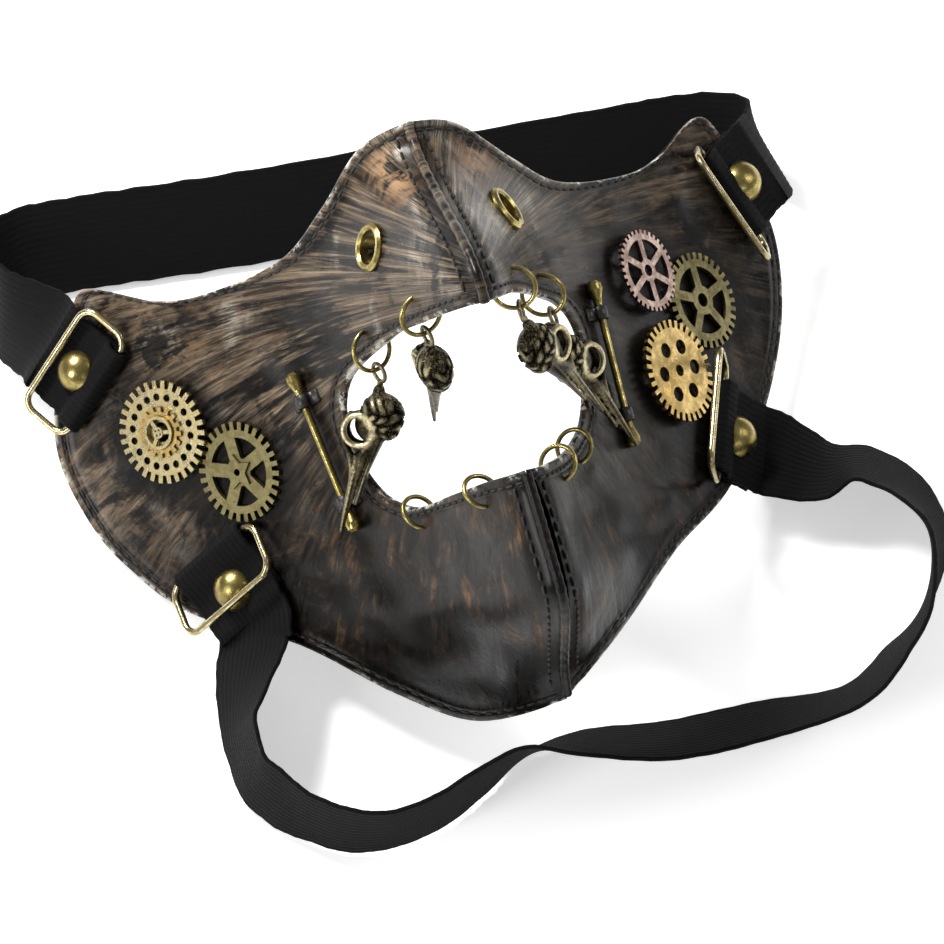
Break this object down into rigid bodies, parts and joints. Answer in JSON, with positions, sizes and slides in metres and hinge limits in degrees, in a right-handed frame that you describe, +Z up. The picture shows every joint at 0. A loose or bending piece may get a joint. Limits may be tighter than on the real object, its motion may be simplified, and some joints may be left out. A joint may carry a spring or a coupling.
{
  "type": "steampunk half-face mask",
  "caption": "Leather half-face mask covering nose to chin around an open mouth, with gears, hanging bird-skull charms and two elastic head straps, lying face up.",
  "frame": {"origin": "centre of the bounding box, on the table that the mask lies on", "axes": "+Z up; +X to the wearer's left; -Y towards the chin, +Y towards the top of the head as the mask lies face up, leaned back 58 degrees from upright"},
  "size_m": [0.2192, 0.2073, 0.1302],
  "materials": {
    "leather": "semi-gloss, hand dyed black with brushed pewter and tan streaks and worn edges",
    "lining": "matt black lining",
    "thread": "waxed dark thread",
    "band_leather": "semi-gloss black",
    "elastic": "matt ribbed black elastic",
    "antique_brass": "antiqued, satin",
    "pale_gold": "satin, pale",
    "gold": "satin",
    "olive_bronze": "antiqued, satin",
    "copper": "satin, pinkish",
    "dark_bronze": "dark antique bronze with pale worn ridges"
  },
  "bodies": {
    "mask": {"leather_left": "leather", "leather_right": "leather", "lining_left": "lining", "lining_right": "lining", "nose_piping": "leather", "chin_piping": "leather", "edge_stitching": "thread", "mouth_stitching": "thread", "nose_stitching": "thread", "chin_stitching": "thread", "eyelet_left": "antique_brass", "eyelet_right": "antique_brass", "eyelet_washer_left": "antique_brass", "eyelet_washer_right": "antique_brass", "gear_left_large": "pale_gold", "gear_left_small": "gold", "gear_left_hub": "pale_gold", "gear_left_spoked": "olive_bronze", "gear_left_star": "olive_bronze", "gear_right_copper": "copper", "gear_right_bronze": "olive_bronze", "gear_right_plate": "gold", "pin_left": "antique_brass", "pin_right": "antique_brass", "pin_band_left_upper": "band_leather", "pin_band_left_lower": "band_leather", "pin_band_right_upper": "band_leather", "pin_band_right_lower": "band_leather", "upper_strap": "elastic", "lower_strap": "elastic", "dome_upper_left": "antique_brass", "dome_upper_right": "antique_brass", "dome_lower_left": "antique_brass", "dome_lower_right": "antique_brass", "cap_upper_left": "antique_brass", "cap_upper_right": "antique_brass", "cap_lower_left": "antique_brass", "cap_lower_right": "antique_brass"},
    "keeper_upper_left": {"keeper_upper_left": "pale_gold"},
    "keeper_upper_right": {"keeper_upper_right": "pale_gold"},
    "keeper_lower_left": {"keeper_lower_left": "pale_gold"},
    "keeper_lower_right": {"keeper_lower_right": "pale_gold"},
    "charm_ring_1": {"charm_ring_1": "antique_brass"},
    "charm_ring_2": {"charm_ring_2": "antique_brass"},
    "charm_ring_3": {"charm_ring_3": "antique_brass"},
    "charm_ring_4": {"charm_ring_4": "antique_brass"},
    "skull_1": {"skull_1": "dark_bronze"},
    "skull_2": {"skull_2": "dark_bronze"},
    "skull_3": {"skull_3": "dark_bronze"},
    "skull_4": {"skull_4": "dark_bronze"},
    "hoop_1": {"hoop_1": "antique_brass"},
    "hoop_2": {"hoop_2": "antique_brass"},
    "hoop_3": {"hoop_3": "antique_brass"},
    "hoop_4": {"hoop_4": "antique_brass"}
  },
  "joints": [
    {"name": "keeper_upper_left_flip", "type": "hinge", "parent": "mask", "child": "keeper_upper_left", "pos_m": [-0.08792, 0.03679, 0.02889], "axis": [0.6891, 0.3041, 0.6577], "range_deg": [0, 130]},
    {"name": "keeper_upper_right_flip", "type": "hinge", "parent": "mask", "child": "keeper_upper_right", "pos_m": [0.08254, 0.0387, 0.0313], "axis": [0.3572, -0.7058, -0.6117], "range_deg": [-130, 0]},
    {"name": "keeper_lower_left_flip", "type": "hinge", "parent": "mask", "child": "keeper_lower_left", "pos_m": [-0.07204, -0.01221, 0.01799], "axis": [-0.7234, -0.0344, -0.6896], "range_deg": [0, 130]},
    {"name": "keeper_lower_right_flip", "type": "hinge", "parent": "mask", "child": "keeper_lower_right", "pos_m": [0.05953, -0.02002, 0.0227], "axis": [-0.3983, -0.9142, -0.0744], "range_deg": [-130, 0]},
    {"name": "charm_ring_1_swing", "type": "hinge", "parent": "mask", "child": "charm_ring_1", "pos_m": [-0.02379, 0.00218, 0.08016], "axis": [-0.9075, -0.2361, 0.3474], "range_deg": [0, 12]},
    {"name": "charm_ring_2_swing", "type": "hinge", "parent": "mask", "child": "charm_ring_2", "pos_m": [-0.01325, -0.00826, 0.1071], "axis": [-0.9463, -0.1116, 0.3034], "range_deg": [-12, 12]},
    {"name": "charm_ring_3_swing", "type": "hinge", "parent": "mask", "child": "charm_ring_3", "pos_m": [0.00786, -0.01091, 0.11224], "axis": [0.9407, -0.0935, 0.3261], "range_deg": [-12, 0]},
    {"name": "charm_ring_4_swing", "type": "hinge", "parent": "mask", "child": "charm_ring_4", "pos_m": [0.01737, -0.00033, 0.08702], "axis": [0.9295, -0.2099, 0.3034], "range_deg": [-12, 0]},
    {"name": "skull_1_swing", "type": "hinge", "parent": "charm_ring_1", "child": "skull_1", "pos_m": [-0.02324, -0.00493, 0.07316], "axis": [-0.9078, -0.3278, 0.2617], "range_deg": [0, 40]},
    {"name": "skull_2_swing", "type": "hinge", "parent": "charm_ring_2", "child": "skull_2", "pos_m": [-0.01273, -0.01347, 0.09858], "axis": [0.9638, 0.2497, -0.0933], "range_deg": [-25, 10]},
    {"name": "skull_3_swing", "type": "hinge", "parent": "charm_ring_3", "child": "skull_3", "pos_m": [0.00871, -0.01725, 0.10455], "axis": [-0.9561, 0.1649, -0.2421], "range_deg": [0, 50]},
    {"name": "skull_4_swing", "type": "hinge", "parent": "charm_ring_4", "child": "skull_4", "pos_m": [0.01923, -0.00749, 0.08029], "axis": [-0.9139, 0.1259, -0.3859], "range_deg": [0, 15]},
    {"name": "hoop_1_swing", "type": "hinge", "parent": "mask", "child": "hoop_1", "pos_m": [-0.02282, -0.04114, 0.05784], "axis": [-0.8805, -0.21, 0.425], "range_deg": [-20, 0]},
    {"name": "hoop_2_swing", "type": "hinge", "parent": "mask", "child": "hoop_2", "pos_m": [-0.0103, -0.05261, 0.08225], "axis": [-0.9044, -0.189, 0.3826], "range_deg": [-20, 0]},
    {"name": "hoop_3_swing", "type": "hinge", "parent": "mask", "child": "hoop_3", "pos_m": [0.00739, -0.05132, 0.0817], "axis": [0.9074, -0.1862, 0.3769], "range_deg": [0, 20]},
    {"name": "hoop_4_swing", "type": "hinge", "parent": "mask", "child": "hoop_4", "pos_m": [0.01439, -0.04188, 0.06886], "axis": [0.9092, -0.1844, 0.3733], "range_deg": [0, 20]}
  ]
}
